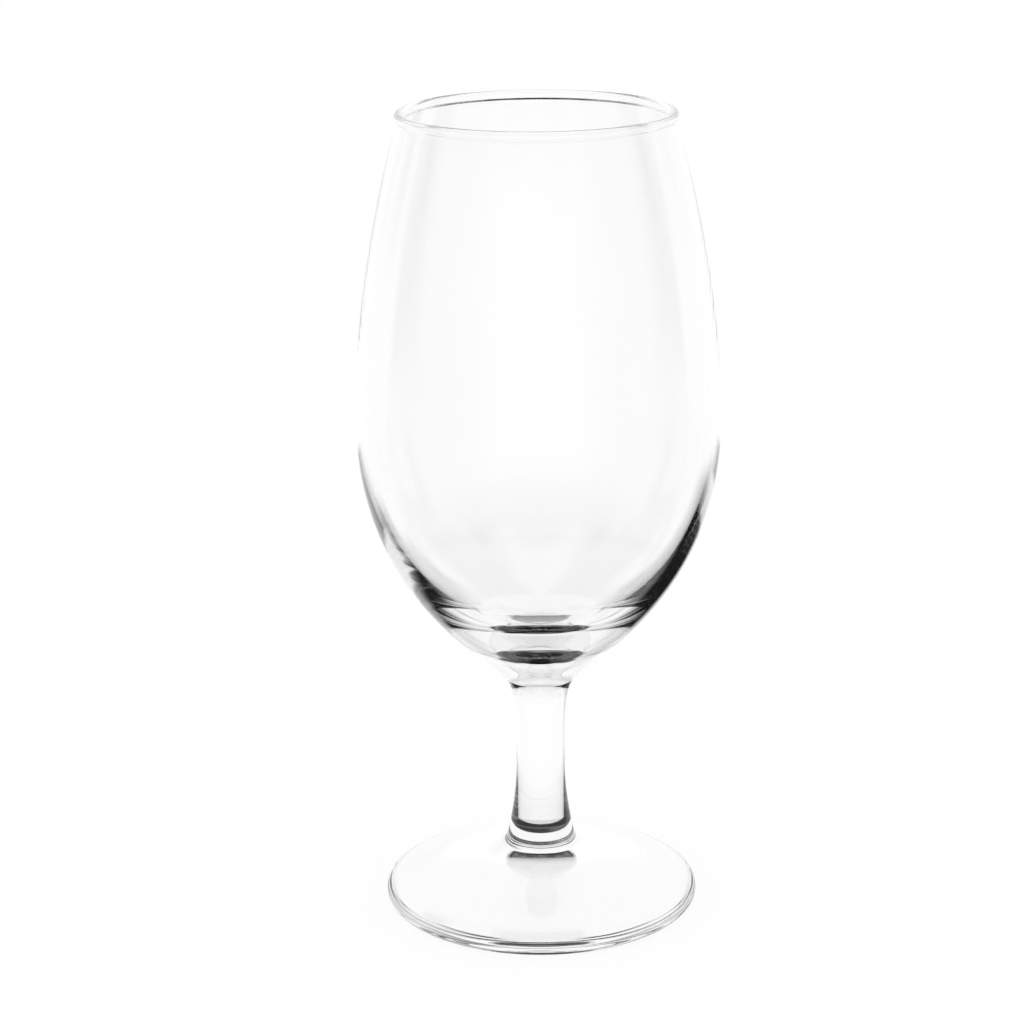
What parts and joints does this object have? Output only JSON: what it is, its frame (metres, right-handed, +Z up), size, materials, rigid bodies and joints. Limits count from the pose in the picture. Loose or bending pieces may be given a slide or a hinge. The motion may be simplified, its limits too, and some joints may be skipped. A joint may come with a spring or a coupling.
{
  "type": "water goblet",
  "caption": "Stemmed water goblet in clear glass: a tall egg-shaped bowl drawn in to a beaded rim, on a short waisted stem and a hollow conical foot.",
  "frame": {"origin": "on the table, under the middle of the foot", "axes": "+Z up along the goblet's axis; X and Y level, and alike because the goblet is turned about Z"},
  "size_m": [0.083, 0.083, 0.1873],
  "materials": {
    "clear_glass": "clear soda-lime glass, fire-polished"
  },
  "bodies": {
    "root": {"foot": "clear_glass", "stem": "clear_glass", "bowl": "clear_glass"}
  },
  "joints": []
}
